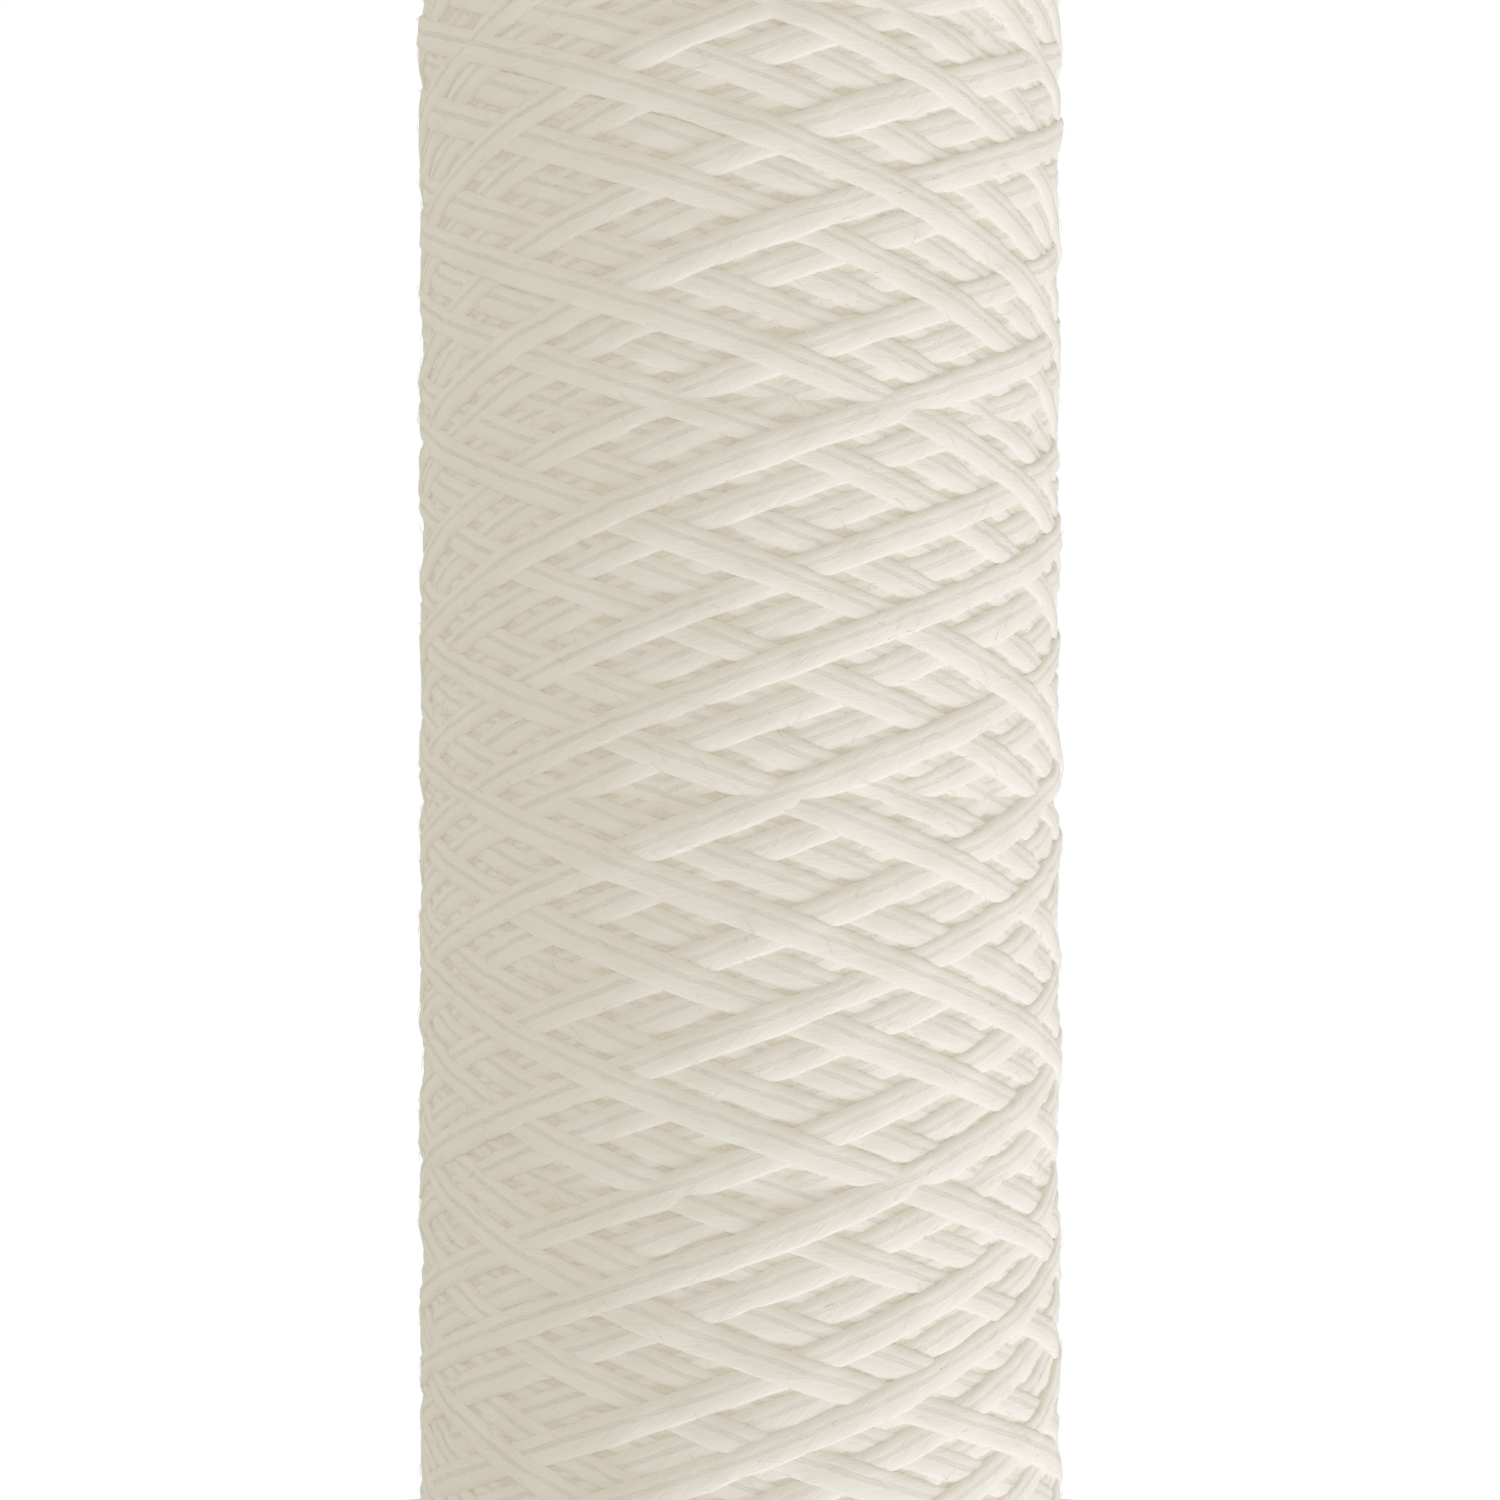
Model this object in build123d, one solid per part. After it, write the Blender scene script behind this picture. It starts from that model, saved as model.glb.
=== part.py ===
from build123d import *
import os
from math import cos, radians, sin

# A string-wound tube: one long soft yarn wound in crossing helices over a covered, slotted
# core, with a collar and a foam gasket at each open end. Millimetres, +Z up along the tube's
# axis, origin at the centre of the bottom gasket's outer face.

# Driving dimensions
OVERALL_LENGTH = 254.0
OUTER_DIAMETER = 63.5
BORE_DIAMETER = 28.0

# Ends
GASKET_THICKNESS = 3.0
GASKET_BORE_DIAMETER = 29.2
GASKET_OUTER_DIAMETER = 45.0
GASKET_EDGE_ROUND = 0.6
FLANGE_THICKNESS = 1.2
FLANGE_DIAMETER = 46.0
FLANGE_EDGE_ROUND = 0.4
SPIGOT_DIAMETER = 30.4
SPIGOT_LENGTH = 9.0
SPIGOT_LEAD_IN = 0.5
SPIGOT_CLEARANCE = 0.02

# Core: straight ribs inside, hoops outside, plain lands at the ends
CORE_OUTER_DIAMETER = 33.0
CORE_LENGTH = OVERALL_LENGTH - 2 * (GASKET_THICKNESS + FLANGE_THICKNESS)
CORE_BOTTOM = GASKET_THICKNESS + FLANGE_THICKNESS
CORE_TOP = CORE_BOTTOM + CORE_LENGTH
LAND_LENGTH = 13.0
RIB_COUNT = 8
RIB_WIDTH = 3.0
RIB_INNER_DIAMETER = 28.6
RIB_OUTER_DIAMETER = 31.2
RIB_ROOT = 1.0
HOOP_INNER_DIAMETER = 30.6
HOOP_WIDTH = 2.4
HOOP_COUNT = 36

# Core cover: a non-woven sheet rolled once round the core, its edge lapped over its start
COVER_THICKNESS = 0.4
COVER_LAP_ANGLE = 32.0

# Winding: firm layers below, the open crossing layers on top, a little shorter
INNER_WINDING_DIAMETER = 54.0
OUTER_WINDING_SETBACK = 0.6

# Radii that follow
core_radius = CORE_OUTER_DIAMETER / 2
cover_radius = core_radius + COVER_THICKNESS
lap_radius = cover_radius + COVER_THICKNESS
outer_radius = OUTER_DIAMETER / 2
inner_winding_radius = INNER_WINDING_DIAMETER / 2
FROM_BELOW = (Align.CENTER, Align.CENTER, Align.MIN)


def ring(outer_diameter, inner_diameter, height, bottom):
    """A plain ring standing on the height called bottom."""
    disc = Cylinder(outer_diameter / 2, height, align=FROM_BELOW)
    hole = Cylinder(inner_diameter / 2, height, align=FROM_BELOW)
    return Pos(0, 0, bottom) * (disc - hole)


def at_circle(radius, angle_deg):
    """The point of a circle about the axis at an angle."""
    return (radius * cos(radians(angle_deg)), radius * sin(radians(angle_deg)))


def core_tube():
    """Moulded core: hoops fused to inner ribs, with a land and a spigot seat at each end."""
    seat = SPIGOT_DIAMETER + 2 * SPIGOT_CLEARANCE
    body = ring(CORE_OUTER_DIAMETER, BORE_DIAMETER, LAND_LENGTH, CORE_BOTTOM)
    body += ring(CORE_OUTER_DIAMETER, BORE_DIAMETER, LAND_LENGTH, CORE_TOP - LAND_LENGTH)
    first_hoop = CORE_BOTTOM + LAND_LENGTH
    open_length = CORE_LENGTH - 2 * LAND_LENGTH
    gap = (open_length - HOOP_COUNT * HOOP_WIDTH) / (HOOP_COUNT + 1)
    hoops = [
        ring(CORE_OUTER_DIAMETER, HOOP_INNER_DIAMETER, HOOP_WIDTH,
             first_hoop + gap + i * (gap + HOOP_WIDTH))
        for i in range(HOOP_COUNT)
    ]
    rib_length, rib_bottom = open_length + 2 * RIB_ROOT, first_hoop - RIB_ROOT
    rib_tube = ring(RIB_OUTER_DIAMETER, RIB_INNER_DIAMETER, rib_length, rib_bottom)
    rib_bar = Pos(core_radius, 0, rib_bottom) * Box(
        core_radius, RIB_WIDTH, rib_length, align=FROM_BELOW)
    ribs = [rib_tube & (Rot(0, 0, 360 / RIB_COUNT * i) * rib_bar) for i in range(RIB_COUNT)]
    body = body.fuse(*hoops, *ribs)
    for low in (CORE_BOTTOM, CORE_TOP - SPIGOT_LENGTH):
        body -= Pos(0, 0, low) * Cylinder(seat / 2, SPIGOT_LENGTH, align=FROM_BELOW)
    return body


def lapped_section(lap_outer_radius, inner_radius):
    """The section of the rolled sheet: one turn, then a second thickness over the lap."""
    single = Circle(cover_radius) - Circle(inner_radius)
    half = COVER_LAP_ANGLE / 2
    reach = 2 * lap_outer_radius
    wedge = make_face(Polyline(
        (0, 0), at_circle(reach, -half), at_circle(reach, half), (0, 0)))
    lap = (Circle(lap_outer_radius) - Circle(inner_radius)) & wedge
    return single + lap


def core_cover():
    """The non-woven sheet between the core and the first layer of yarn."""
    section = lapped_section(lap_radius, core_radius)
    return Pos(0, 0, CORE_BOTTOM) * extrude(section, CORE_LENGTH)


def inner_winding():
    """The firm layers that were wound first, over the core cover."""
    hollow = lapped_section(lap_radius, core_radius) + Circle(core_radius)
    section = Circle(inner_winding_radius) - hollow
    return Pos(0, 0, CORE_BOTTOM) * extrude(section, CORE_LENGTH)


def outer_winding():
    """The open crossing layers, with the round shoulders where the yarn turns back."""
    low, high = CORE_BOTTOM + OUTER_WINDING_SETBACK, CORE_TOP - OUTER_WINDING_SETBACK
    shoulder = outer_radius - inner_winding_radius
    profile = Plane.XZ * make_face(
        RadiusArc((inner_winding_radius, low), (outer_radius, low + shoulder), -shoulder)
        + Line((outer_radius, low + shoulder), (outer_radius, high - shoulder))
        + RadiusArc((outer_radius, high - shoulder), (inner_winding_radius, high), -shoulder)
        + Line((inner_winding_radius, high), (inner_winding_radius, low))
    )
    return revolve(profile, Axis.Z, 360)


def collar(top):
    """A flanged collar whose spigot is pressed into the core and keeps its bore."""
    bore, spigot = BORE_DIAMETER / 2, SPIGOT_DIAMETER / 2
    flange = FLANGE_DIAMETER / 2
    base = -FLANGE_THICKNESS
    round_edge = FLANGE_EDGE_ROUND
    profile = Plane.XZ * make_face(
        Line((bore, base), (flange - round_edge, base))
        + RadiusArc((flange - round_edge, base), (flange, base + round_edge), -round_edge)
        + Polyline((flange, base + round_edge), (flange, 0), (spigot, 0),
                   (spigot, SPIGOT_LENGTH - SPIGOT_LEAD_IN),
                   (spigot - SPIGOT_LEAD_IN, SPIGOT_LENGTH),
                   (bore, SPIGOT_LENGTH), (bore, base))
    )
    body = revolve(profile, Axis.Z, 360)
    if top:
        return Pos(0, 0, CORE_TOP) * (Rot(180, 0, 0) * body)
    return Pos(0, 0, CORE_BOTTOM) * body


def gasket(bottom):
    """A flat closed-cell foam ring with slightly rounded outer edges."""
    body = ring(GASKET_OUTER_DIAMETER, GASKET_BORE_DIAMETER, GASKET_THICKNESS, bottom)
    rims = body.edges().filter_by(GeomType.CIRCLE).sort_by(SortBy.RADIUS)[-2:]
    return fillet(rims, GASKET_EDGE_ROUND)


parts = {
    "core_tube": core_tube(),
    "core_cover": core_cover(),
    "inner_winding": inner_winding(),
    "outer_winding": outer_winding(),
    "bottom_collar": collar(top=False),
    "top_collar": collar(top=True),
    "bottom_gasket": gasket(0.0),
    "top_gasket": gasket(OVERALL_LENGTH - GASKET_THICKNESS),
}

os.makedirs("parts", exist_ok=True)
for node, solid in parts.items():
    export_step(solid, f"parts/{node}.step")
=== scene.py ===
import math

import bmesh
import bpy
import numpy as np
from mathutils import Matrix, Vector


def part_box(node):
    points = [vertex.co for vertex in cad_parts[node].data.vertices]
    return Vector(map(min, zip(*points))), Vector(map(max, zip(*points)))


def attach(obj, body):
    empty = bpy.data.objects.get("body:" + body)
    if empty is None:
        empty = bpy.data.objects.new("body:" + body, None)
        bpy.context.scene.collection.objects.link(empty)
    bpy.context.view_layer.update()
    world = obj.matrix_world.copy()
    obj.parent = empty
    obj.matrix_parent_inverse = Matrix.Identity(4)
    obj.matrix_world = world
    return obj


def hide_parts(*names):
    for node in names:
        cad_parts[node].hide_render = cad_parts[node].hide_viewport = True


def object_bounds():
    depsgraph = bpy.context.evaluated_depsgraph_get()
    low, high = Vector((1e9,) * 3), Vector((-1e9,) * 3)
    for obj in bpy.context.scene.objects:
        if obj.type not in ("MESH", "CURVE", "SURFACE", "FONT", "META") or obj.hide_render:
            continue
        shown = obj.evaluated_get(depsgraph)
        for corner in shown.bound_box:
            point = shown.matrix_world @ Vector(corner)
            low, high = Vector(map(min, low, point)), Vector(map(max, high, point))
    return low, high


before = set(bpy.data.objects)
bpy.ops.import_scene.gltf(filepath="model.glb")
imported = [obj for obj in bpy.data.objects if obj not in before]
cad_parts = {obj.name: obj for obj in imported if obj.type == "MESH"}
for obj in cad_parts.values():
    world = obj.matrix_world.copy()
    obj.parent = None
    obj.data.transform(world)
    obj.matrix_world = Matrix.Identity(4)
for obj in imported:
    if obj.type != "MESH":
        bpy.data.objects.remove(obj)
cad_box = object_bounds()
MM = 0.001

# --- Core tube ---------------------------------------------------------------------------------
# The moulded cage that the whole tube is wound on: hoops outside, straight ribs inside, a plain
# land at each end. Natural polypropylene, straight from the mould: milky, a little see-through
# and satin, with faint flow lines. The CAD shape is the real one and only gets its plastic.


def new_material(name):
    """A material with one Principled shader: (material, its node tree, the shader)."""
    made = bpy.data.materials.new(name)
    made.use_nodes = True
    tree = made.node_tree
    return made, tree, tree.nodes["Principled BSDF"]


def add(tree, kind, **settings):
    """A new node in a shader tree with its own settings."""
    node = tree.nodes.new(kind)
    for key, value in settings.items():
        setattr(node, key, value)
    return node


def set_inputs(node, **values):
    """Fills in a node's sockets; underscores in a keyword stand for the spaces in its name."""
    for key, value in values.items():
        node.inputs[key.replace("_", " ")].default_value = value


def noise(tree, vector, scale, detail=3.0, roughness=0.55):
    """A noise texture read at a vector socket."""
    node = add(tree, "ShaderNodeTexNoise")
    set_inputs(node, Scale=scale, Detail=detail, Roughness=roughness)
    tree.links.new(vector, node.inputs["Vector"])
    return node.outputs["Fac"]


def ramp(tree, value, stops):
    """A colour ramp: stops is a list of (place, colour)."""
    node = add(tree, "ShaderNodeValToRGB")
    points = node.color_ramp.elements
    for i, (place, colour) in enumerate(stops):
        point = points[i] if i < 2 else points.new(place)
        point.position = place
        point.color = (*colour, 1.0)
    tree.links.new(value, node.inputs["Fac"])
    return node.outputs["Color"]


def bump(tree, shader, heights):
    """Chains bumps into a shader: heights is a list of (value socket, distance, strength)."""
    normal = None
    for value, distance, strength in heights:
        node = add(tree, "ShaderNodeBump")
        set_inputs(node, Distance=distance, Strength=strength)
        tree.links.new(value, node.inputs["Height"])
        if normal is not None:
            tree.links.new(normal, node.inputs["Normal"])
        normal = node.outputs["Normal"]
    tree.links.new(normal, shader.inputs["Normal"])


def moulded_plastic(name, pale, deep, roughness):
    """Satin moulded polypropylene with soft cloudy tone, flow lines along Z and fine grain."""
    made, tree, shader = new_material(name)
    place = add(tree, "ShaderNodeTexCoord").outputs["Object"]
    stretch = add(tree, "ShaderNodeMapping")
    set_inputs(stretch, Scale=(1.0, 1.0, 0.12))
    tree.links.new(place, stretch.inputs["Vector"])
    flow = noise(tree, stretch.outputs["Vector"], 420.0, 4.0)
    tree.links.new(ramp(tree, flow, [(0.3, deep), (0.7, pale)]), shader.inputs["Base Color"])
    grain = noise(tree, place, 3800.0, 2.0)
    bump(tree, shader, [(flow, 0.05 * MM, 0.35), (grain, 0.02 * MM, 0.3)])
    set_inputs(shader, Roughness=roughness, Subsurface_Weight=0.25, Subsurface_Scale=1.5 * MM)
    return made


def finish_cad_node(node, material):
    """A CAD node that keeps its shape shows this material on every face."""
    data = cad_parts[node].data
    data.materials.clear()
    data.materials.append(material)


finish_cad_node("core_tube", moulded_plastic(
    "natural polypropylene", (0.84, 0.84, 0.80), (0.74, 0.74, 0.69), 0.38))

# --- Core cover --------------------------------------------------------------------------------
# A thin bonded non-woven sheet, rolled once round the core before winding so that no yarn is
# drawn into the windows. Its edge laps over its own start on the +X side. The sheet is pressed
# with a close pattern of bond points.

cover_low, cover_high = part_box("core_cover")
core_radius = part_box("core_tube")[1].x
SHEET_THICKNESS = 0.4 * MM
SHEET_LAP = math.radians(32.0)
SHEET_RISE = math.radians(9.0)  # how fast the sheet climbs over its own start


def sheet_radius(turn):
    """The inner radius of the rolled sheet at a turning angle from the start of the lap."""
    climb = np.clip((turn - (2 * math.pi - SHEET_RISE)) / SHEET_RISE, 0.0, 1.0)
    return core_radius + SHEET_THICKNESS * climb


def grid_faces(along, across, wrap_along=False, wrap_across=False):
    """Quads of a grid of points, joined up at its edges where it wraps."""
    i, j = np.meshgrid(np.arange(along if wrap_along else along - 1),
                       np.arange(across if wrap_across else across - 1), indexing="ij")
    k, m = (i + 1) % along, (j + 1) % across
    return np.stack([i * across + j, i * across + m, k * across + m, k * across + j],
                    axis=-1).reshape(-1, 4)


def closed_piece(name, points, faces, material):
    """A smooth closed mesh object whose faces all point outwards."""
    mesh = bpy.data.meshes.new(name)
    mesh.from_pydata(points.reshape(-1, 3).tolist(), [], faces.tolist())
    body = bmesh.new()
    body.from_mesh(mesh)
    bmesh.ops.recalc_face_normals(body, faces=body.faces)
    body.to_mesh(mesh)
    body.free()
    mesh.shade_smooth()
    mesh.materials.append(material)
    piece = bpy.data.objects.new(name, mesh)
    bpy.context.collection.objects.link(piece)
    return piece


def cover_material():
    """White non-woven sheet: long random fibres under a grid of small pressed bond points."""
    made, tree, shader = new_material("bonded non-woven sheet")
    place = add(tree, "ShaderNodeTexCoord").outputs["Object"]
    points = add(tree, "ShaderNodeTexVoronoi", feature="F1")
    set_inputs(points, Scale=900.0, Randomness=0.15)
    tree.links.new(place, points.inputs["Vector"])
    fibres = noise(tree, place, 2600.0, 5.0, 0.7)
    colour = ramp(tree, fibres, [(0.35, (0.80, 0.80, 0.77)), (0.7, (0.90, 0.90, 0.87))])
    tree.links.new(colour, shader.inputs["Base Color"])
    bump(tree, shader, [(points.outputs["Distance"], 0.15 * MM, 0.5), (fibres, 0.08 * MM, 0.5)])
    set_inputs(shader, Roughness=0.8, Sheen_Weight=0.2)
    return made


turns = np.linspace(0.0, 2 * math.pi + SHEET_LAP, 150)
inside = sheet_radius(turns)
loop_radius = np.concatenate([inside, (inside + SHEET_THICKNESS)[::-1]])
loop_turn = np.concatenate([turns, turns[::-1]]) - SHEET_LAP / 2
levels = np.linspace(cover_low.z, cover_high.z, 12)
shell = np.stack(np.broadcast_arrays(
    loop_radius * np.cos(loop_turn), loop_radius * np.sin(loop_turn), levels[:, None]), axis=-1)
round_points = len(loop_turn)
rim = np.arange(len(turns) - 1)
rim = np.stack([rim, rim + 1, round_points - 2 - rim, round_points - 1 - rim], axis=-1)
sheet_faces = np.concatenate([
    grid_faces(len(levels), round_points, wrap_across=True),
    rim, rim + (len(levels) - 1) * round_points])
core_sheet = closed_piece("core_cover_sheet", shell, sheet_faces, cover_material())
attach(core_sheet, "root")
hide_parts("core_cover")

# --- Laying the yarn ---------------------------------------------------------------------------
# The winder turns the tube while a guide carries one soft yarn up and down it. A double stroke
# takes seven turns and 5/18 of a turn, so the crossings fall on a lattice of 18 lines each way.
# Each stroke is pulled taut over what already lies there, on a height map of the surface.

R_REF = 31.2  # mm, the radius whose unrolled surface carries the height map
CELL = 0.4  # mm, the height map's cell
LINES = 18
LINE_STEP = 5
WHOLE_TURNS = 7
PATTERNS = 10
REVERSAL_TURN = 0.72  # share of a turn that the guide takes to turn back
YARN_WIDTH = 3.0  # mm
YARN_PRESSED = 0.4  # mm, how far one flattened strand stands out over the next
YARN_FLATNESS = 4.2  # power of the strand's section: 2 is an ellipse, more is flatter
STEP = 0.3  # mm, between the laid points
START_RADIUS = 23.2  # mm, where the worked-out layers begin
SHOULDER = 4.75  # mm, radius of the round shoulder at each end
CREST = 0.35  # mm, how far a strand may stand above the mean radius of its stroke
STRAND_SLOPE = 0.35  # tangent of a strand's slope on the finished surface
MAP_MARGIN = 6.0  # mm of height map past each end of the winding
JOIN_LENGTH = 12.0  # mm over which a strand begins and stops to stray from its path
FRONT_TURN = 0.2456  # turns the finished winding about the axis, in turns
YARN_SEED = 7

wound_low, wound_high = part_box("outer_winding")
LOW, HIGH = wound_low.z / MM, wound_high.z / MM
FULL_RADIUS = wound_high.x / MM
circumference = 2 * math.pi * R_REF
turns_per_stroke = WHOLE_TURNS + LINE_STEP / LINES
half_traverse = (HIGH - LOW - YARN_WIDTH) / 2
middle = (HIGH + LOW) / 2
draw = np.random.default_rng(YARN_SEED)


def guide_path(count):
    """The guide's height over one double stroke, from -1 at the bottom to 1 and back."""
    phase = (np.arange(count) + 0.5) / count
    turning = REVERSAL_TURN / turns_per_stroke / 2
    away = np.minimum(np.minimum(phase, 1 - phase), np.abs(phase - 0.5))
    speed = np.where(phase < 0.5, 1.0, -1.0) * np.sin(np.clip(away / turning, 0, 1) * math.pi / 2)
    height = np.cumsum(speed)
    return (height - height.min()) / np.ptp(height) * 2 - 1


def wander(count, length, size, spacing):
    """A smooth random offset along a strand, with a new value every spacing millimetres."""
    knots = max(4, int(length / spacing))
    values = draw.normal(0.0, size, knots + 2)
    at = np.linspace(0, knots, count)
    i = np.minimum(at.astype(int), knots)
    blend = at - i
    blend = blend * blend * (3 - 2 * blend)
    return values[i] * (1 - blend) + values[i + 1] * blend


def smooth_along(values, width):
    """A rounded running mean along a strand."""
    size = int(width / STEP) | 1
    weights = np.hanning(size + 2)[1:-1]
    padded = np.pad(values, size // 2, mode="edge")
    return np.convolve(padded, weights / weights.sum(), "valid")


def pull_taut(support, bend_radius):
    """The lowest curve over the support that bends no more than the tube's own curve."""
    s = np.arange(len(support)) * STEP
    sag = s * s / (2 * bend_radius)
    y = (support - sag).tolist()
    touching = []
    for i, height in enumerate(y):
        while len(touching) > 1:
            a, b = touching[-2], touching[-1]
            if (y[b] - y[a]) * (i - a) <= (height - y[a]) * (b - a):
                touching.pop()
            else:
                break
        touching.append(i)
    return np.interp(np.arange(len(y)), touching, np.array(y)[touching]) + sag


def lay_yarn():
    """All strokes in order: the strands, and the height map before the last two patterns."""
    cells_round = int(round(circumference / CELL))
    floor_z = LOW - MAP_MARGIN
    cells_up = int(round((HIGH - LOW + 2 * MAP_MARGIN) / CELL)) + 1
    surface = np.full((cells_up, cells_round), START_RADIUS, np.float32)
    count = int(turns_per_stroke * circumference / STEP)
    advance = turns_per_stroke * circumference / count
    profile_z = guide_path(count)
    across = np.linspace(-0.5, 0.5, 9)
    underside = 0.5 * (1 - np.sqrt(np.clip(1 - (2 * across) ** 2 * 0.98, 0, 1)))
    fine = np.linspace(-0.5, 0.5, int(math.ceil(YARN_WIDTH / CELL * 1.6)) | 1)
    dome = (1 - np.abs(2 * fine) ** YARN_FLATNESS) ** (1 / YARN_FLATNESS)
    along = np.arange(count) / count
    settle = np.clip(np.minimum(along, 1 - along) * count * STEP / JOIN_LENGTH, 0.0, 1.0)
    settle = settle * settle * (3 - 2 * settle)
    strands, below, start, bottom_inset = [], None, 0.0, 0.0

    def cells(x, z, nx, nz, offsets, width):
        px = x[:, None] + nx[:, None] * offsets[None] * width[:, None]
        pz = z[:, None] + nz[:, None] * offsets[None] * width[:, None]
        i = np.round(px / (circumference / cells_round)).astype(int) % cells_round
        j = np.clip(np.round((pz - floor_z) / CELL).astype(int), 0, cells_up - 1)
        return j, i

    for number in range(PATTERNS * LINES):
        pattern = number // LINES
        if number == (PATTERNS - 2) * LINES:
            below = surface.copy()
        radius = START_RADIUS + (FULL_RADIUS - START_RADIUS) * (number + 1) / (PATTERNS * LINES)
        over = min(max(radius - (FULL_RADIUS - SHOULDER), 0.0), SHOULDER)
        inset = SHOULDER - math.sqrt(SHOULDER ** 2 - over ** 2) if over < SHOULDER else SHOULDER
        top_inset, next_inset = (0.55 * inset + np.abs(draw.normal(0.0, 0.7, 2))).tolist()
        insets = np.interp(along, [0.0, 0.5, 1.0], [bottom_inset, top_inset, next_inset])
        bottom_inset = next_inset
        z = middle + profile_z * (half_traverse - insets)
        length = count * STEP
        offset = settle * (draw.normal(0.0, 0.22) + wander(count, length, 0.22, 90.0)
                           + wander(count, length, 0.09, 14.0))
        x = start + np.arange(count) * advance + 0.3 * (pattern - PATTERNS) + offset
        start = (start + turns_per_stroke * circumference) % circumference
        dx, dz = np.gradient(x), np.gradient(z)
        size = np.hypot(dx, dz)
        pressed = YARN_PRESSED * np.clip(np.abs(dz) / np.abs(dz).max(), 0.25, 1.0)
        nx, nz = -dz / size, dx / size
        girth = (1 + wander(count, length, 0.03, 2.6) + wander(count, length, 0.03, 6.0)
                 + wander(count, length, 0.045, 25.0))
        width = YARN_WIDTH * girth * np.where(radius < R_REF, R_REF / radius, 1.0)
        j, i = cells(x, z, nx, nz, across, width)
        under = surface[j, i]
        support = 0.6 * (under - underside[None]).max(1) + 0.4 * under[:, 2:-2].mean(1)
        bend_radius = radius / math.cos(math.atan(STRAND_SLOPE)) ** 2
        height = 0.2 * support + 0.8 * pull_taut(support, bend_radius)
        depth = np.clip(np.minimum(z - LOW, HIGH - z), 0, SHOULDER)
        rounding = SHOULDER - np.sqrt(SHOULDER ** 2 - (SHOULDER - depth) ** 2)
        height = np.minimum(height, radius - rounding - pressed + CREST)
        height = smooth_along(height, 2.8)
        lean = smooth_along((under[:, -3:].mean(1) - under[:, :3].mean(1)) / (0.75 * YARN_WIDTH), 2.8)
        lean = 0.6 * lean
        top = height[:, None] + pressed[:, None] * dome + (lean * width)[:, None] * fine
        j, i = cells(x, z, nx, nz, fine, width)
        np.maximum.at(surface, (j.ravel(), i.ravel()), top.ravel().astype(np.float32))
        strands.append({"pattern": pattern, "x": x, "z": z, "height": height, "lean": lean,
                        "girth": girth, "nx": nx, "nz": nz, "pressed": pressed})
    return strands, below, surface, floor_z


strands, below, surface, floor_z = lay_yarn()

# --- Yarn fibres -------------------------------------------------------------------------------
# The yarn is a soft, thick roving of fine off-white fibres with hardly any twist. It looks warm
# white on its ridges and turns beige in the gaps, where light only arrives from other fibres; that
# beige is painted shade, put into the colour of the yarn below. Its fibres run along the strand at
# the slant of the twist and stand out as a faint haze.

YARN_PALE = (0.935, 0.905, 0.845)
YARN_DEEP = (0.89, 0.85, 0.775)
# painted shade: the darker beige of the yarn that shows in the gaps
PIT_PAINTED_SHADE = (0.80, 0.755, 0.64)
TWIST_SLANT = 0.45  # sideways run of the fibres for each length along the strand
YARN_ROUND = 7.5  # mm, once round a strand's section


def yarn_material():
    """Fibres along each strand, from the strand's own along and around attributes."""
    made, tree, shader = new_material("soft off-white yarn")
    along = add(tree, "ShaderNodeAttribute", attribute_name="along").outputs["Fac"]
    around = add(tree, "ShaderNodeAttribute", attribute_name="around").outputs["Fac"]
    girth = add(tree, "ShaderNodeMath", operation="MULTIPLY")
    girth.inputs[1].default_value = YARN_ROUND * MM
    tree.links.new(around, girth.inputs[0])
    slant = add(tree, "ShaderNodeMath", operation="MULTIPLY_ADD")
    slant.inputs[1].default_value = TWIST_SLANT
    tree.links.new(along, slant.inputs[0])
    tree.links.new(girth.outputs[0], slant.inputs[2])
    lie = add(tree, "ShaderNodeCombineXYZ")
    tree.links.new(along, lie.inputs["X"])
    tree.links.new(slant.outputs[0], lie.inputs["Y"])
    squeeze = add(tree, "ShaderNodeMapping")
    set_inputs(squeeze, Scale=(0.16, 1.0, 1.0))
    tree.links.new(lie.outputs[0], squeeze.inputs["Vector"])
    fibres = noise(tree, squeeze.outputs["Vector"], 4200.0, 3.0, 0.6)
    locks = noise(tree, squeeze.outputs["Vector"], 1100.0, 2.0, 0.5)
    place = add(tree, "ShaderNodeTexCoord").outputs["Object"]
    cloud = noise(tree, place, 160.0, 2.0, 0.5)
    tone = add(tree, "ShaderNodeMix", data_type="FLOAT")
    tone.inputs["Factor"].default_value = 0.45
    tree.links.new(fibres, tone.inputs["A"])
    tree.links.new(cloud, tone.inputs["B"])
    colour = ramp(tree, tone.outputs["Result"], [(0.3, YARN_DEEP), (0.62, YARN_PALE)])
    tree.links.new(colour, shader.inputs["Base Color"])
    bump(tree, shader, [(locks, 0.18 * MM, 0.4), (fibres, 0.1 * MM, 0.5)])
    set_inputs(shader, Roughness=0.85, Sheen_Weight=0.3, Sheen_Roughness=0.5,
               Specular_IOR_Level=0.2)
    return made


yarn = yarn_material()

# --- Firm layers below -------------------------------------------------------------------------
# The yarn that went on first, under the last two patterns. Only its bumps show, at the bottom of
# the gaps, in a darker beige than the strands on top: painted shade of the gaps. It is one closed
# ring, from flange to flange. Its outside is the laid height map, with the deepest gaps filled up
# by fuzz.

INNER_STEP = 2  # height map cells to one cell of this mesh
END_MARGIN = 1.7  # mm, left open at each end for the turns of yarn
PIT_DEPTH = 0.42  # mm below the smoothed surface where fuzz closes the gaps between strands
PIT_SMOOTHING = 1.6  # mm


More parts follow.
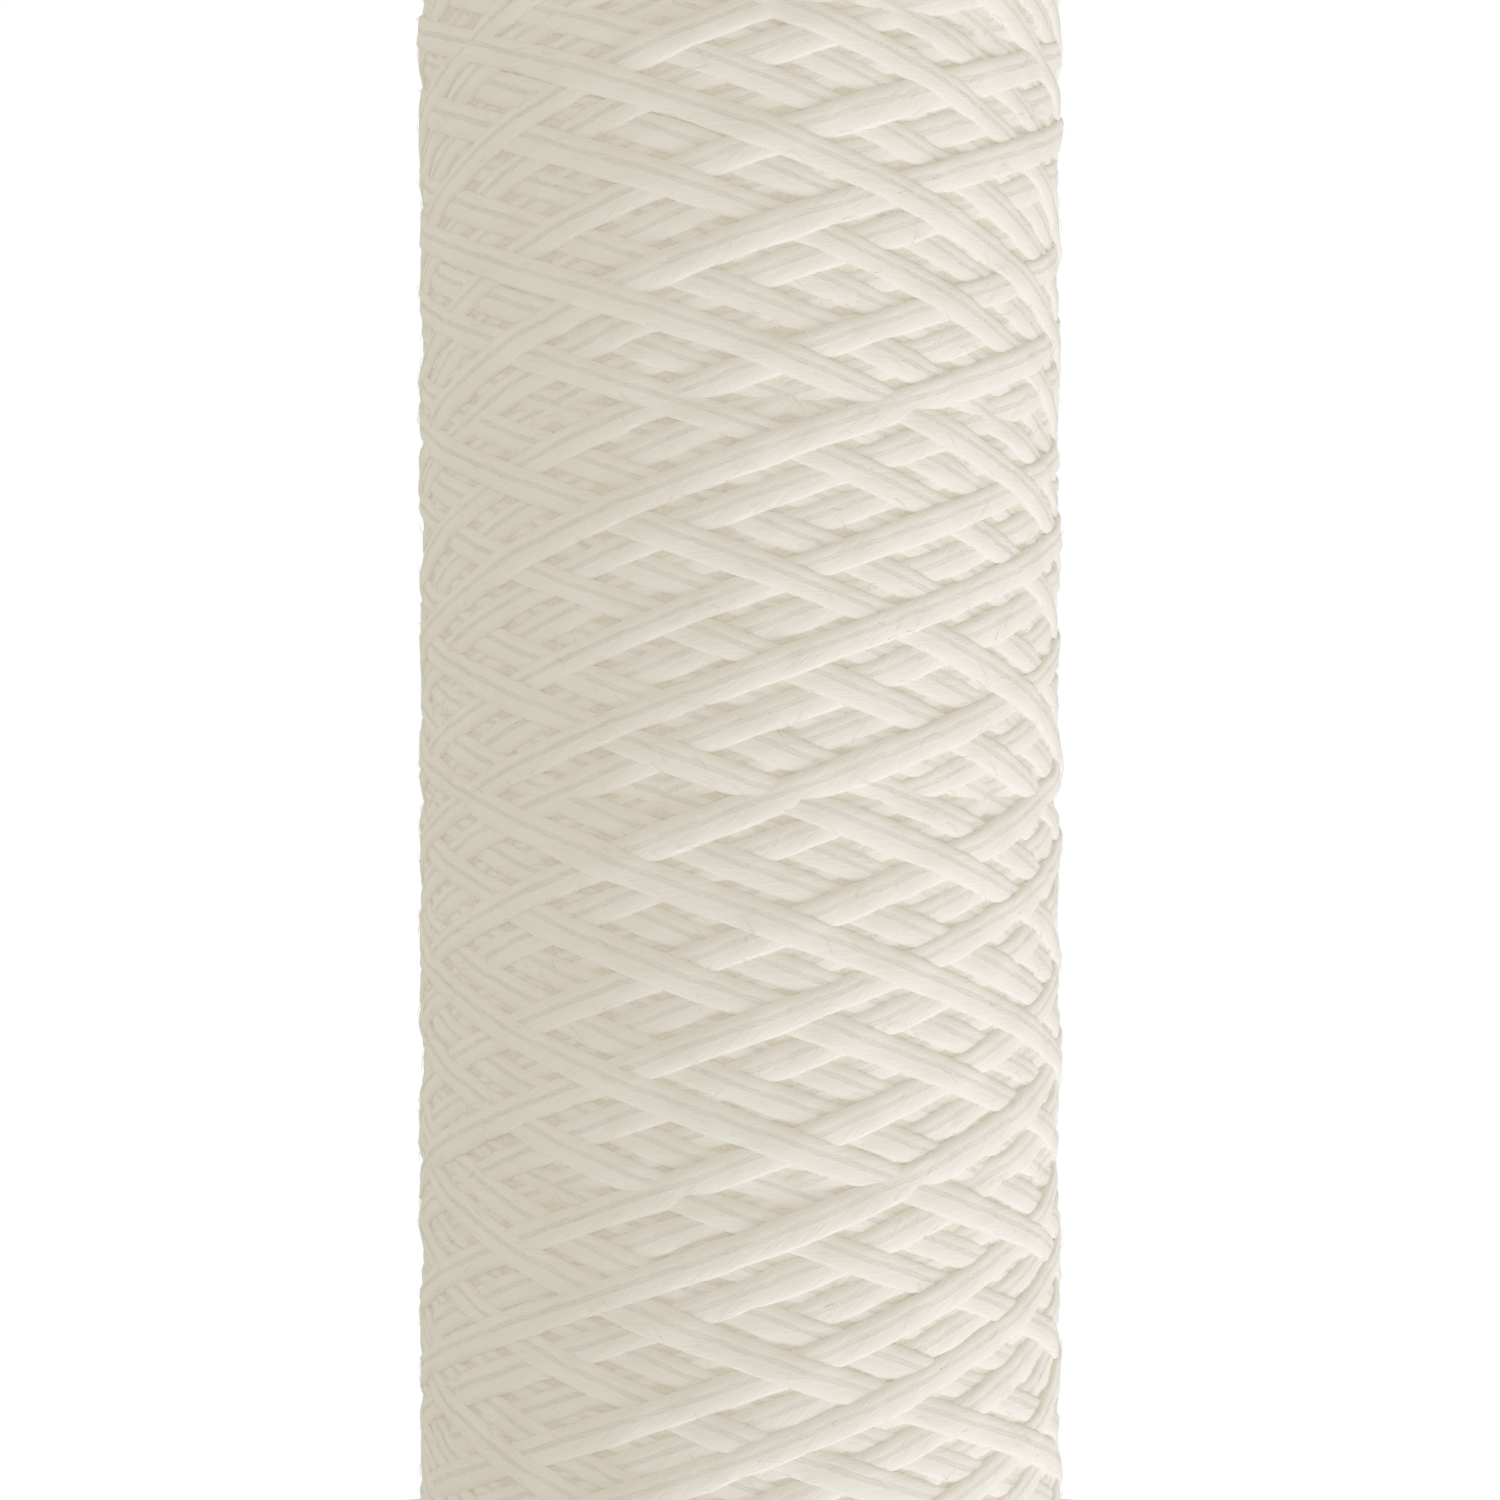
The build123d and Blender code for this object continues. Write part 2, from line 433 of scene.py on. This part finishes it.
def lower_yarn_painted_shade_material():
    """The same yarn seen in the gaps, in darker beige painted shade; fibres read from the place, not
    from a strand.
    """
    made, tree, shader = new_material("off-white yarn below, painted shade")
    place = add(tree, "ShaderNodeTexCoord").outputs["Object"]
    fibres = noise(tree, place, 2600.0, 4.0, 0.6)
    # painted shade: the ramp runs from a darker beige up to the yarn's deep tone, darker than the
    # strands on top
    colour = ramp(tree, fibres, [(0.3, PIT_PAINTED_SHADE), (0.7, YARN_DEEP)])
    tree.links.new(colour, shader.inputs["Base Color"])
    bump(tree, shader, [(fibres, 0.12 * MM, 0.5)])
    set_inputs(shader, Roughness=0.88, Sheen_Weight=0.2)
    return made


inner_low, inner_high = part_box("inner_winding")
rows = floor_z + np.arange(below.shape[0]) * CELL
kept = (rows > LOW + END_MARGIN) & (rows < HIGH - END_MARGIN)
waves = [np.fft.fftfreq(size) * 2 * math.pi for size in surface.shape]
keep = np.exp(-(waves[0][:, None] ** 2 + waves[1] ** 2) * (PIT_SMOOTHING / CELL) ** 2 / 2)
smoothed = np.fft.ifft2(np.fft.fft2(surface) * keep).real
skin = np.maximum(below, smoothed - PIT_DEPTH)[kept][::INNER_STEP, ::INNER_STEP]
skin_z = rows[kept][::INNER_STEP]
around = (np.arange(skin.shape[1]) / skin.shape[1] + FRONT_TURN) * 2 * math.pi
bore = (core_radius + 2 * SHEET_THICKNESS) / MM + 0.1
ends = [inner_low.z / MM + 0.05, inner_high.z / MM - 0.05]
skin = np.concatenate([np.full((1, skin.shape[1]), START_RADIUS), skin,
                       np.full((1, skin.shape[1]), START_RADIUS),
                       np.full((2, skin.shape[1]), bore)])
skin_z = np.concatenate([ends[:1], skin_z, ends[1:], ends[1:], ends[:1]])
ring_points = MM * np.stack(np.broadcast_arrays(
    skin * np.cos(around), skin * np.sin(around), skin_z[:, None]), axis=-1)
firm_layers = closed_piece(
    "firm_yarn_layers", ring_points,
    grid_faces(*skin.shape, wrap_along=True, wrap_across=True), lower_yarn_painted_shade_material())
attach(firm_layers, "root")
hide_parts("inner_winding")

# --- Open layers on top ------------------------------------------------------------------------
# The last two patterns, strand over strand, and the turns at the ends of the older ones. Every
# laid path gets a flattened, slightly uneven soft body. The strands lie flat on the surface, lean
# with what they cross and settle a little into it.

YARN_THICKNESS = 1.1  # mm, before the next strand presses on it
YARN_SIDES = 12
YARN_FACE = 0.5  # share by which the section's points crowd towards the outer face
PATH_STEP = 4  # laid points to one ring of the yarn's mesh
RELIEF = 0.62  # share of its height over the smoothed surface that a settled strand keeps
END_DEPTH = 5.5  # mm from the winding's end, where the older patterns still show


def yarn_tree(material):
    """Geometry Nodes: each path becomes a yarn with the path's own up, girth and along."""
    tree = bpy.data.node_groups.new("Yarn along its path", "GeometryNodeTree")
    face = tree.interface
    face.new_socket("Geometry", in_out="INPUT", socket_type="NodeSocketGeometry")
    sizes = {"Yarn Width": YARN_WIDTH * MM, "Yarn Thickness": YARN_THICKNESS * MM}
    for label, value in (*sizes.items(), ("Flatness", YARN_FLATNESS)):
        face.new_socket(label, in_out="INPUT", socket_type="NodeSocketFloat").default_value = value
    sides = face.new_socket("Yarn Sides", in_out="INPUT", socket_type="NodeSocketInt")
    sides.default_value = YARN_SIDES
    face.new_socket("Geometry", in_out="OUTPUT", socket_type="NodeSocketGeometry")
    link, new = tree.links.new, tree.nodes.new
    given, done = new("NodeGroupInput"), new("NodeGroupOutput")
    curve, upright = new("GeometryNodeMeshToCurve"), new("GeometryNodeSetCurveNormal")
    upright.mode = "FREE"
    up, girth = new("GeometryNodeInputNamedAttribute"), new("GeometryNodeInputNamedAttribute")
    up.data_type, girth.data_type = "FLOAT_VECTOR", "FLOAT"
    up.inputs["Name"].default_value, girth.inputs["Name"].default_value = "up", "girth"
    section, scaled = new("GeometryNodeCurvePrimitiveCircle"), new("GeometryNodeTransform")
    halves = new("ShaderNodeCombineXYZ")
    half = [new("ShaderNodeMath") for _ in range(2)]
    for node, label in zip(half, sizes):
        node.operation = "MULTIPLY"
        node.inputs[1].default_value = 0.5
        link(given.outputs[label], node.inputs[0])
    link(half[1].outputs[0], halves.inputs["X"])
    link(half[0].outputs[0], halves.inputs["Y"])
    link(given.outputs["Yarn Sides"], section.inputs["Resolution"])
    section.inputs["Radius"].default_value = 1.0
    flat, circle = new("GeometryNodeSetPosition"), new("GeometryNodeInputPosition")
    parts, size = new("ShaderNodeSeparateXYZ"), new("ShaderNodeVectorMath")
    size.operation = "SCALE"
    spot = new("ShaderNodeVectorMath")  # most of the section's points go to its outer face
    spot.inputs[1].default_value = (YARN_FACE, 0.0, 0.0)
    link(circle.outputs[0], spot.inputs[0])
    link(spot.outputs[0], parts.inputs[0])
    powers = []
    for axis in "XY":
        plain, power = new("ShaderNodeMath"), new("ShaderNodeMath")
        plain.operation, power.operation = "ABSOLUTE", "POWER"
        link(parts.outputs[axis], plain.inputs[0])
        link(plain.outputs[0], power.inputs[0])
        link(given.outputs["Flatness"], power.inputs[1])
        powers.append(power)
    total, share_out, pull = new("ShaderNodeMath"), new("ShaderNodeMath"), new("ShaderNodeMath")
    total.operation, share_out.operation, pull.operation = "ADD", "DIVIDE", "POWER"
    share_out.inputs[0].default_value = -1.0
    link(powers[0].outputs[0], total.inputs[0])
    link(powers[1].outputs[0], total.inputs[1])
    link(given.outputs["Flatness"], share_out.inputs[1])
    link(total.outputs[0], pull.inputs[0])
    link(share_out.outputs[0], pull.inputs[1])
    link(spot.outputs[0], size.inputs[0])
    link(pull.outputs[0], size.inputs["Scale"])
    link(size.outputs[0], flat.inputs["Position"])
    mark = new("GeometryNodeStoreNamedAttribute")
    mark.data_type, mark.domain = "FLOAT", "POINT"
    mark.inputs["Name"].default_value = "around"
    share = new("GeometryNodeSplineParameter")
    link(section.outputs["Curve"], mark.inputs["Geometry"])
    link(share.outputs["Factor"], mark.inputs["Value"])
    link(mark.outputs["Geometry"], flat.inputs["Geometry"])
    link(flat.outputs["Geometry"], scaled.inputs["Geometry"])
    link(halves.outputs[0], scaled.inputs["Scale"])
    body, soft = new("GeometryNodeCurveToMesh"), new("GeometryNodeSetShadeSmooth")
    body.inputs["Fill Caps"].default_value = True
    real, coat = new("GeometryNodeRealizeInstances"), new("GeometryNodeSetMaterial")
    coat.inputs["Material"].default_value = material
    link(given.outputs["Geometry"], curve.inputs["Mesh"])
    link(curve.outputs["Curve"], upright.inputs["Curve"])
    link(up.outputs["Attribute"], upright.inputs["Normal"])
    lie, tangent = new("GeometryNodeStoreNamedAttribute"), new("GeometryNodeInputTangent")
    lie.data_type, lie.domain = "FLOAT_VECTOR", "POINT"
    lie.inputs["Name"].default_value = "lie"
    link(upright.outputs["Curve"], lie.inputs["Geometry"])
    link(tangent.outputs[0], lie.inputs["Value"])
    link(lie.outputs["Geometry"], body.inputs["Curve"])
    link(scaled.outputs["Geometry"], body.inputs["Profile Curve"])
    link(girth.outputs["Attribute"], body.inputs["Scale"])
    link(body.outputs["Mesh"], soft.inputs["Geometry"])
    link(soft.outputs["Geometry"], real.inputs["Geometry"])
    link(real.outputs["Geometry"], coat.inputs["Geometry"])
    link(coat.outputs["Geometry"], done.inputs["Geometry"])
    return tree


def path_points(strand, chosen):
    """A strand's chosen points: places, up directions, girth and length along, in metres."""
    x, z, height = strand["x"][chosen], strand["z"][chosen], strand["height"][chosen]
    turn = x / R_REF + FRONT_TURN * 2 * math.pi
    row = np.round((z - floor_z) / CELL).astype(int).clip(0, smoothed.shape[0] - 1)
    column = np.round(x / circumference * smoothed.shape[1]).astype(int) % smoothed.shape[1]
    top = height + strand["pressed"][chosen]
    inland = np.clip((np.minimum(z - LOW, HIGH - z) - 3.0) / 4.0, 0.0, 1.0)
    top -= (1 - RELIEF) * inland * (top - smoothed[row, column])
    radius = top - YARN_THICKNESS / 2
    out = np.stack([np.cos(turn), np.sin(turn), np.zeros_like(turn)], axis=-1)
    side = np.stack([-np.sin(turn) * strand["nx"][chosen], np.cos(turn) * strand["nx"][chosen],
                     strand["nz"][chosen]], axis=-1)
    up = out - strand["lean"][chosen][:, None] * side
    place = np.stack([radius * np.cos(turn), radius * np.sin(turn), z], axis=-1)
    return place * MM, up, strand["girth"][chosen], chosen * STEP * MM


def runs_of(mask):
    """The stretches of a mask that are True, as index arrays."""
    marks = np.flatnonzero(mask)
    return [run for run in np.split(marks, np.flatnonzero(np.diff(marks) > 1) + 1) if len(run) > 8]


def wound_piece(name, paths, tree):
    """One mesh piece from several laid paths, each a list of path_points results in a row."""
    places, ups, girths, alongs = (np.concatenate(each) for each in zip(*paths))
    lengths = [len(path[0]) for path in paths]
    first = np.cumsum([0] + lengths[:-1])
    edges = np.concatenate([np.stack([np.arange(n - 1), np.arange(1, n)], axis=-1) + at
                            for n, at in zip(lengths, first)])
    mesh = bpy.data.meshes.new(name)
    mesh.from_pydata(places.tolist(), edges.tolist(), [])
    for label, kind, values in (("up", "FLOAT_VECTOR", ups), ("girth", "FLOAT", girths),
                                ("along", "FLOAT", alongs)):
        attribute = mesh.attributes.new(label, kind, "POINT")
        key = "vector" if kind == "FLOAT_VECTOR" else "value"
        attribute.data.foreach_set(key, values.astype(np.float32).ravel())
    path = bpy.data.objects.new(name + "_path", mesh)
    bpy.context.collection.objects.link(path)
    modifier = path.modifiers.new("yarn", "NODES")
    modifier.node_group = tree
    seen = path.evaluated_get(bpy.context.evaluated_depsgraph_get())
    made = bpy.data.meshes.new_from_object(seen)
    made.name = name
    bpy.data.objects.remove(path)
    piece = bpy.data.objects.new(name, made)
    bpy.context.collection.objects.link(piece)
    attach(piece, "root")
    return piece


tree = yarn_tree(yarn)
point_count = len(strands[0]["x"])
every = np.arange(0, point_count + PATH_STEP - 1, PATH_STEP).clip(max=point_count - 1)
open_pieces = []
GROUP = 6  # double strokes to one mesh
for group in range(2 * LINES // GROUP):
    first = (PATTERNS - 2) * LINES + group * GROUP
    chosen = strands[first: first + GROUP]
    joined = [np.concatenate(each) for each in zip(*(path_points(s, every) for s in chosen))]
    piece = wound_piece(f"open_strands_{group + 1}", [joined], tree)
    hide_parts("outer_winding")
    open_pieces.append(piece)

for name, end, sign in (("bottom_turns", LOW, 1.0), ("top_turns", HIGH, -1.0)):
    paths = []
    for strand in strands[:(PATTERNS - 2) * LINES]:
        near = (strand["z"] - end) * sign < END_DEPTH
        if sign > 0:
            halves = [runs_of(near & (np.arange(point_count) < point_count // 2)),
                      runs_of(near & (np.arange(point_count) >= point_count // 2))]
            runs = halves[0] + halves[1]
        else:
            runs = runs_of(near)
        paths += [path_points(strand, run[::PATH_STEP]) for run in runs]
    piece = wound_piece(name, paths, tree)
    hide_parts("outer_winding")

# --- Loose fibres ------------------------------------------------------------------------------
# Fine fibre ends stand out of the soft yarn all over and lie down along it. They blur the edges
# of the strands and give the tube its faint haze.

FIBRE_LENGTH = 2.2  # mm
FIBRE_WIDTH = 0.04  # mm
FIBRE_RISE = 0.3  # mm, how far a fibre's bend stands off the strand
FIBRE_SHARE = 0.11  # fibres to a square millimetre that faces out
FIBRE_STRAY = 0.55  # how far a fibre turns aside from the strand
FIBRE_SEED = 11


def fibre_tree(material):
    """Geometry Nodes: bent fibres on the outward faces of the yarn, roughly along the strand."""
    tree = bpy.data.node_groups.new("Loose fibres", "GeometryNodeTree")
    face = tree.interface
    face.new_socket("Geometry", in_out="INPUT", socket_type="NodeSocketGeometry")
    for label, kind, value in (("Length", "Float", FIBRE_LENGTH * MM),
                               ("Width", "Float", FIBRE_WIDTH * MM),
                               ("Rise", "Float", FIBRE_RISE * MM),
                               ("Density", "Float", FIBRE_SHARE * 1e6),
                               ("Seed", "Int", FIBRE_SEED)):
        socket = face.new_socket(label, in_out="INPUT", socket_type="NodeSocket" + kind)
        socket.default_value = value
    face.new_socket("Geometry", in_out="OUTPUT", socket_type="NodeSocketGeometry")
    link, new = tree.links.new, tree.nodes.new
    given, done = new("NodeGroupInput"), new("NodeGroupOutput")

    def maths(operation, first, second):
        node = new("ShaderNodeMath")
        node.operation = operation
        for socket, value in zip(node.inputs, (first, second)):
            if isinstance(value, float):
                socket.default_value = value
            else:
                link(value, socket)
        return node.outputs[0]

    def vector(x, y, z):
        node = new("ShaderNodeCombineXYZ")
        for socket, value in zip(node.inputs, (x, y, z)):
            if isinstance(value, float):
                socket.default_value = value
            else:
                link(value, socket)
        return node.outputs[0]

    normal, place = new("GeometryNodeInputNormal"), new("GeometryNodeInputPosition")
    level, outward, facing = (new("ShaderNodeVectorMath") for _ in range(3))
    level.operation, outward.operation, facing.operation = "MULTIPLY", "NORMALIZE", "DOT_PRODUCT"
    level.inputs[1].default_value = (1.0, 1.0, 0.0)
    link(place.outputs[0], level.inputs[0])
    link(level.outputs[0], outward.inputs[0])
    link(outward.outputs[0], facing.inputs[0])
    link(normal.outputs[0], facing.inputs[1])
    shows = new("FunctionNodeCompare")
    shows.data_type, shows.operation = "FLOAT", "GREATER_THAN"
    shows.inputs["B"].default_value = 0.15
    link(facing.outputs["Value"], shows.inputs["A"])
    scatter = new("GeometryNodeDistributePointsOnFaces")
    link(given.outputs["Geometry"], scatter.inputs["Mesh"])
    link(shows.outputs[0], scatter.inputs["Selection"])
    link(given.outputs["Density"], scatter.inputs["Density"])
    link(given.outputs["Seed"], scatter.inputs["Seed"])
    bend, ring = new("GeometryNodeCurveQuadraticBezier"), new("GeometryNodeCurvePrimitiveCircle")
    bend.inputs["Resolution"].default_value = 3
    half = maths("MULTIPLY", given.outputs["Length"], 0.5)
    link(vector(maths("MULTIPLY", half, -1.0), 0.0, maths("MULTIPLY", given.outputs["Rise"], -0.5)),
         bend.inputs["Start"])
    link(vector(0.0, maths("MULTIPLY", half, 0.3), given.outputs["Rise"]), bend.inputs["Middle"])
    link(vector(half, 0.0, maths("MULTIPLY", given.outputs["Rise"], 0.6)), bend.inputs["End"])
    ring.inputs["Resolution"].default_value = 3
    link(maths("MULTIPLY", given.outputs["Width"], 0.5), ring.inputs["Radius"])
    body, upon = new("GeometryNodeCurveToMesh"), new("GeometryNodeInstanceOnPoints")
    body.inputs["Fill Caps"].default_value = True
    link(bend.outputs["Curve"], body.inputs["Curve"])
    link(ring.outputs["Curve"], body.inputs["Profile Curve"])
    turn, first, second, lie, aim = (
        new(kind) for kind in ("FunctionNodeAxesToRotation", "FunctionNodeRandomValue",
                               "FunctionNodeRandomValue", "GeometryNodeInputNamedAttribute",
                               "ShaderNodeVectorMath"))
    turn.primary_axis, turn.secondary_axis = "Z", "X"
    first.data_type, second.data_type = "FLOAT_VECTOR", "FLOAT"
    first.inputs["Min"].default_value = (-FIBRE_STRAY,) * 3
    first.inputs["Max"].default_value = (FIBRE_STRAY,) * 3
    lie.data_type = "FLOAT_VECTOR"
    lie.inputs["Name"].default_value = "lie"
    link(first.outputs[0], aim.inputs[0])
    link(lie.outputs["Attribute"], aim.inputs[1])
    link(scatter.outputs["Normal"], turn.inputs["Primary Axis"])
    link(aim.outputs[0], turn.inputs["Secondary Axis"])
    second.inputs[2].default_value, second.inputs[3].default_value = 0.5, 1.25
    link(scatter.outputs["Points"], upon.inputs["Points"])
    link(body.outputs["Mesh"], upon.inputs["Instance"])
    link(turn.outputs[0], upon.inputs["Rotation"])
    link(second.outputs[1], upon.inputs["Scale"])
    real, coat = new("GeometryNodeRealizeInstances"), new("GeometryNodeSetMaterial")
    coat.inputs["Material"].default_value = material
    link(upon.outputs["Instances"], real.inputs["Geometry"])
    link(real.outputs["Geometry"], coat.inputs["Geometry"])
    link(coat.outputs["Geometry"], done.inputs["Geometry"])
    return tree


def fibre_material():
    """One plain soft white: a fibre is too fine to show any texture of its own."""
    made, tree, shader = new_material("loose fibre")
    set_inputs(shader, Base_Color=(*YARN_PALE, 1.0), Roughness=0.7, Specular_IOR_Level=0.2)
    return made


fibres = fibre_tree(fibre_material())
for number, strand_piece in enumerate(open_pieces, 1):
    base = bpy.data.objects.new("fibre_base", strand_piece.data.copy())
    bpy.context.collection.objects.link(base)
    modifier = base.modifiers.new("fibres", "NODES")
    modifier.node_group = fibres
    seen = base.evaluated_get(bpy.context.evaluated_depsgraph_get())
    made = bpy.data.meshes.new_from_object(seen)
    made.name = f"loose_fibres_{number}"
    bpy.data.objects.remove(base)
    haze = bpy.data.objects.new(made.name, made)
    bpy.context.collection.objects.link(haze)
    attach(haze, "root")
    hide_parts("outer_winding")

# --- Collars -----------------------------------------------------------------------------------
# A flanged ring of white polypropylene pressed into each end of the core. It holds the first
# yarn turns in place and carries the gasket. The CAD shapes are the real ones.

collar_plastic = moulded_plastic(
    "white moulded collar", (0.88, 0.88, 0.86), (0.82, 0.82, 0.79), 0.33)
for node in ("bottom_collar", "top_collar"):
    finish_cad_node(node, collar_plastic)

# --- Gaskets -----------------------------------------------------------------------------------
# A flat ring punched from closed-cell white foam and stuck to each collar. Its cut edges show
# the cells, and its skin is dimpled and slightly soft at the rim.


def foam_material():
    """Fine closed-cell foam: small cells of uneven size over a soft matt skin."""
    made, tree, shader = new_material("closed-cell foam")
    place = add(tree, "ShaderNodeTexCoord").outputs["Object"]
    cells = add(tree, "ShaderNodeTexVoronoi", feature="F1")
    set_inputs(cells, Scale=2300.0)
    tree.links.new(place, cells.inputs["Vector"])
    cloud = noise(tree, place, 500.0, 2.0)
    colour = ramp(tree, cloud, [(0.3, (0.83, 0.83, 0.80)), (0.7, (0.90, 0.90, 0.88))])
    tree.links.new(colour, shader.inputs["Base Color"])
    bump(tree, shader, [(cloud, 0.10 * MM, 0.4), (cells.outputs["Distance"], 0.12 * MM, 0.5)])
    set_inputs(shader, Roughness=0.75)
    return made


FOAM_ROUND = 0.6 * MM
FOAM_STEP = 0.6 * MM  # how far the gasket's bore steps back from the core's


def foam_ring(node, material):
    """A closed ring in the gasket's own space with rounded edges."""
    low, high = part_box(node)
    outer, inner = high.x, core_bore + FOAM_STEP
    edge, steps = FOAM_ROUND, 6
    corner = np.linspace(0, math.pi / 2, steps)
    places = []
    for (r, z), start in (((outer - edge, high.z - edge), 0), ((inner + edge, high.z - edge), 1),
                          ((inner + edge, low.z + edge), 2), ((outer - edge, low.z + edge), 3)):
        turn = corner + start * math.pi / 2
        places += list(zip(r + edge * np.cos(turn), z + edge * np.sin(turn)))
    section = np.array(places)
    angle = np.linspace(0, 2 * math.pi, 180, endpoint=False)
    points = np.stack(np.broadcast_arrays(
        section[None, :, 0] * np.cos(angle)[:, None], section[None, :, 0] * np.sin(angle)[:, None],
        section[None, :, 1]), axis=-1)
    faces = grid_faces(len(angle), len(section), wrap_along=True, wrap_across=True)
    piece = closed_piece(node + "_foam", points, faces, material)
    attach(piece, "root")
    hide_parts(node)


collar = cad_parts["top_collar"].data
core_bore = min(math.hypot(v.co.x, v.co.y) for v in collar.vertices)
foam = foam_material()
for node in ("bottom_gasket", "top_gasket"):
    foam_ring(node, foam)

# --- Table, light and camera -------------------------------------------------------------------
# The tube stands on its lower gasket on a plain pale table. A soft key light comes from the
# lower right, a wide pale room fills the rest. The camera is close, level and a little below the
# tube's middle, so that the rings of yarn bow up above it and down below it.


def plain_material(name, colour):
    """A matt pale surface for the table."""
    made, tree, shader = new_material(name)
    set_inputs(shader, Base_Color=(*colour, 1.0), Roughness=0.9)
    return made


TABLE_SIZE = 0.2  # m, radius
table_mesh = bpy.data.meshes.new("table")
rim = np.linspace(0, 2 * math.pi, 128, endpoint=False)
table_mesh.from_pydata(
    [(TABLE_SIZE * math.cos(a), TABLE_SIZE * math.sin(a), cad_box[0][2]) for a in rim],
    [], [list(range(len(rim)))])
table_mesh.materials.append(plain_material("pale table", (0.86, 0.86, 0.85)))
table = bpy.data.objects.new("table", table_mesh)
bpy.context.collection.objects.link(table)


def soft_light(name, place, target, size, power, colour):
    """A square area light that looks at a point and isn't seen itself."""
    lamp = bpy.data.lights.new(name, "AREA")
    lamp.size, lamp.energy, lamp.color = size, power, colour
    holder = bpy.data.objects.new(name, lamp)
    holder.location = place
    aim = Vector(target) - Vector(place)
    holder.rotation_euler = aim.to_track_quat("-Z", "Y").to_euler()
    holder.visible_camera = False
    bpy.context.collection.objects.link(holder)


key_turn, key_drop, key_distance = math.radians(62), math.radians(54), 1.0
key_target = Vector((0.0, 0.0, 0.13))
key_place = key_target + key_distance * Vector((
    math.sin(key_turn) * math.cos(key_drop), -math.cos(key_turn) * math.cos(key_drop),
    -math.sin(key_drop)))
soft_light("key", key_place, key_target, 0.5, 4.8, (0.80, 0.85, 1.0))
table.visible_shadow = False  # the key shines up from under the table's level

room = bpy.data.worlds.new("pale room")
room.use_nodes = True
sky = room.node_tree
glow = sky.nodes["Background"]
set_inputs(glow, Color=(1.0, 0.965, 0.87, 1.0), Strength=0.72)
backdrop = add(sky, "ShaderNodeBackground")
set_inputs(backdrop, Color=(1.0, 1.0, 1.0, 1.0), Strength=1.0)
choose = add(sky, "ShaderNodeMixShader")
sky.links.new(add(sky, "ShaderNodeLightPath").outputs["Is Camera Ray"], choose.inputs["Fac"])
sky.links.new(glow.outputs[0], choose.inputs[1])
sky.links.new(backdrop.outputs[0], choose.inputs[2])
sky.links.new(choose.outputs[0], sky.nodes["World Output"].inputs["Surface"])
bpy.context.scene.world = room
bpy.context.scene.view_settings.view_transform = "Standard"

lens = bpy.data.cameras.new("camera")
lens.lens, lens.sensor_width = 66.8, 36.0
lens.shift_x, lens.shift_y = 0.0067, 0.0667
lens.clip_start = 0.01
camera = bpy.data.objects.new("camera", lens)
CAMERA_HEIGHT = 0.1095
CAMERA_DISTANCE = 8.73  # in radii of the winding
camera.location = (0.0, -CAMERA_DISTANCE * wound_high.x, CAMERA_HEIGHT)
camera.rotation_euler = (math.pi / 2, 0.0, 0.0)
bpy.context.collection.objects.link(camera)
bpy.context.scene.camera = camera
